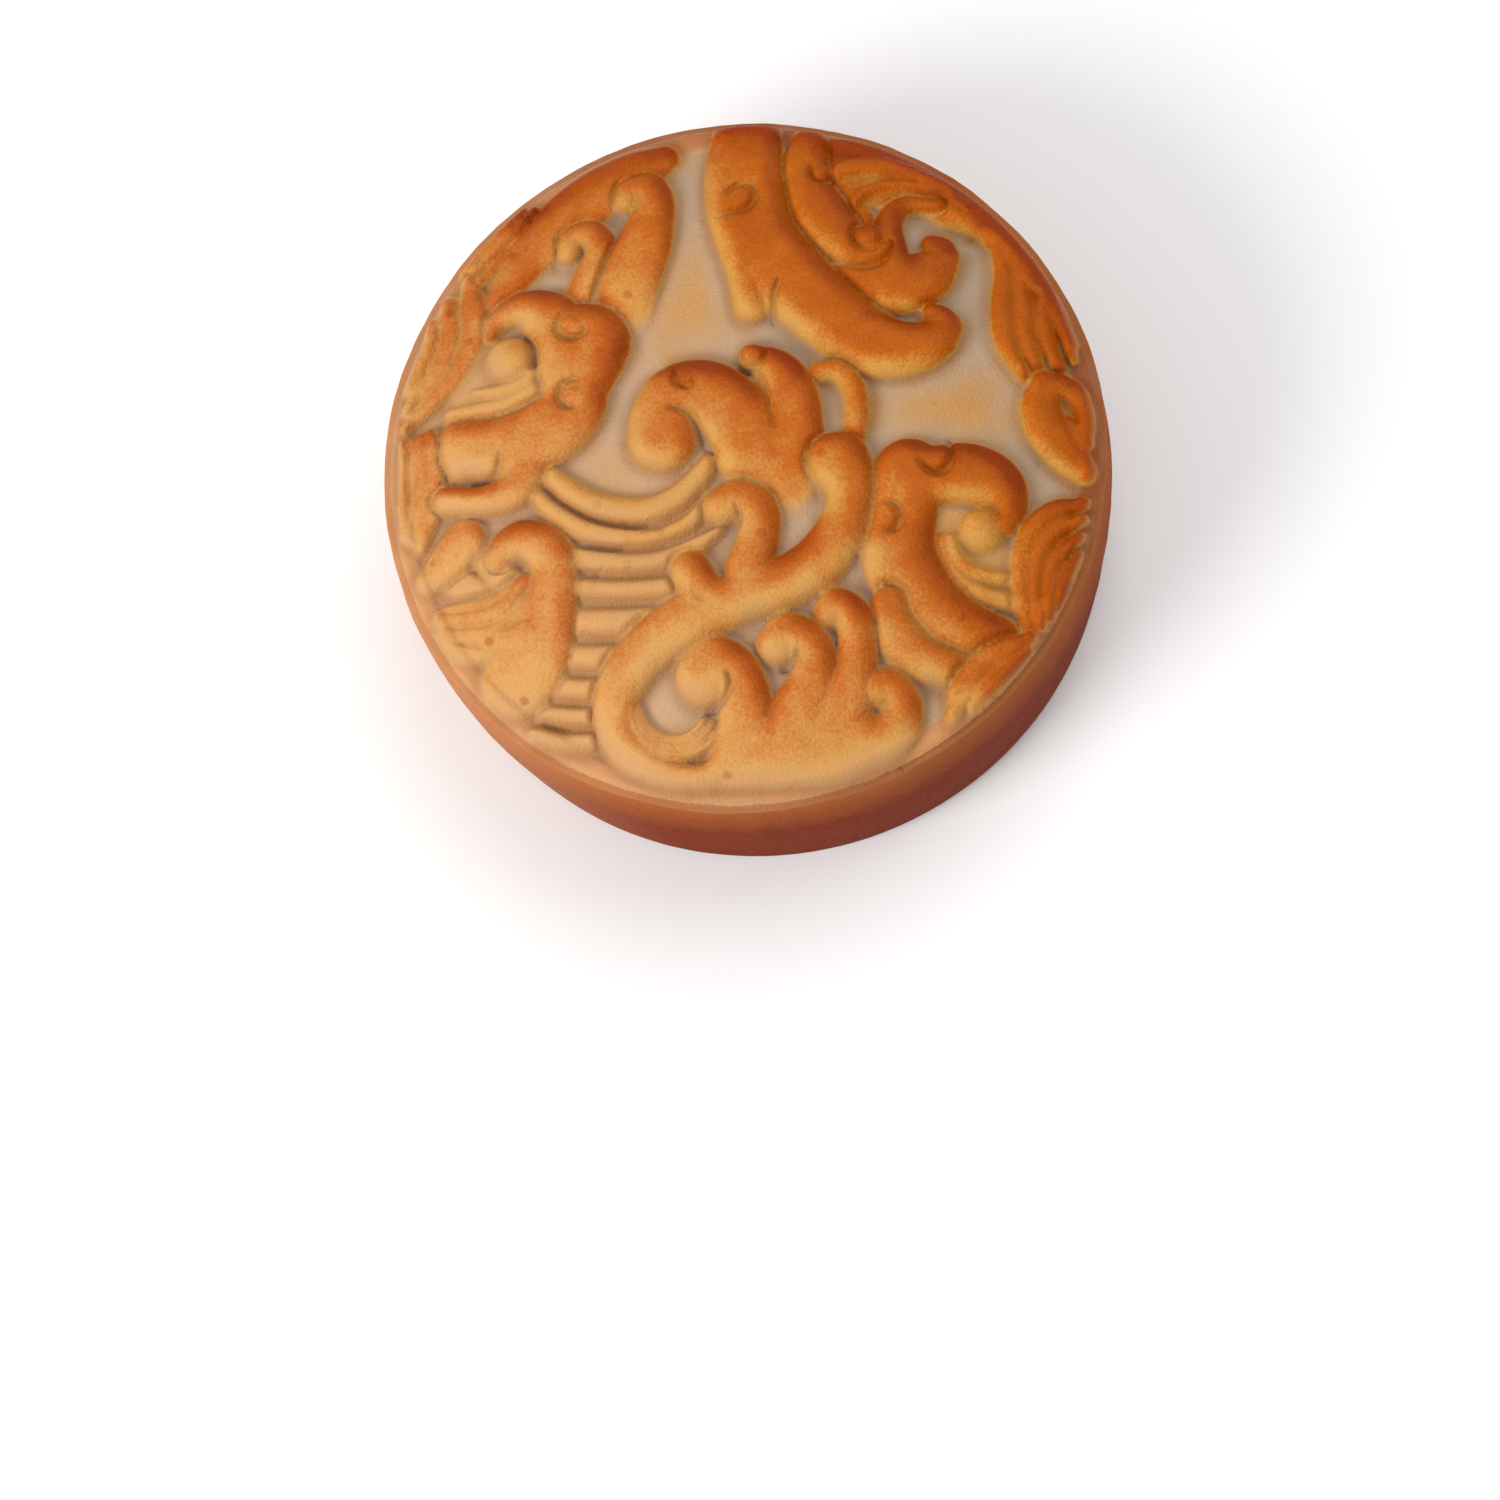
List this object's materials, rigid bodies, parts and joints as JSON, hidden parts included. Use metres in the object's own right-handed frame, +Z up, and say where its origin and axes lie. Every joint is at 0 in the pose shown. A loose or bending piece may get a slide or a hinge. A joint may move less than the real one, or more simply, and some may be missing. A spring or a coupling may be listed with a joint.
{
  "type": "mooncake",
  "caption": "Whole baked mooncake: a low round cake with a bulging side, a raised ring round the top and a domed face moulded with curling waves",
  "frame": {"origin": "middle of the flat base, at the height of the surface that the cake stands on", "axes": "+Z up through the moulded face; +Y towards the wave that springs from the rim at the top of the pattern; +X to the right of it, seen from above"},
  "size_m": [0.0762, 0.0762, 0.0339],
  "materials": {
    "crust": "satin"
  },
  "bodies": {
    "root": {"mooncake": "crust"}
  },
  "joints": []
}
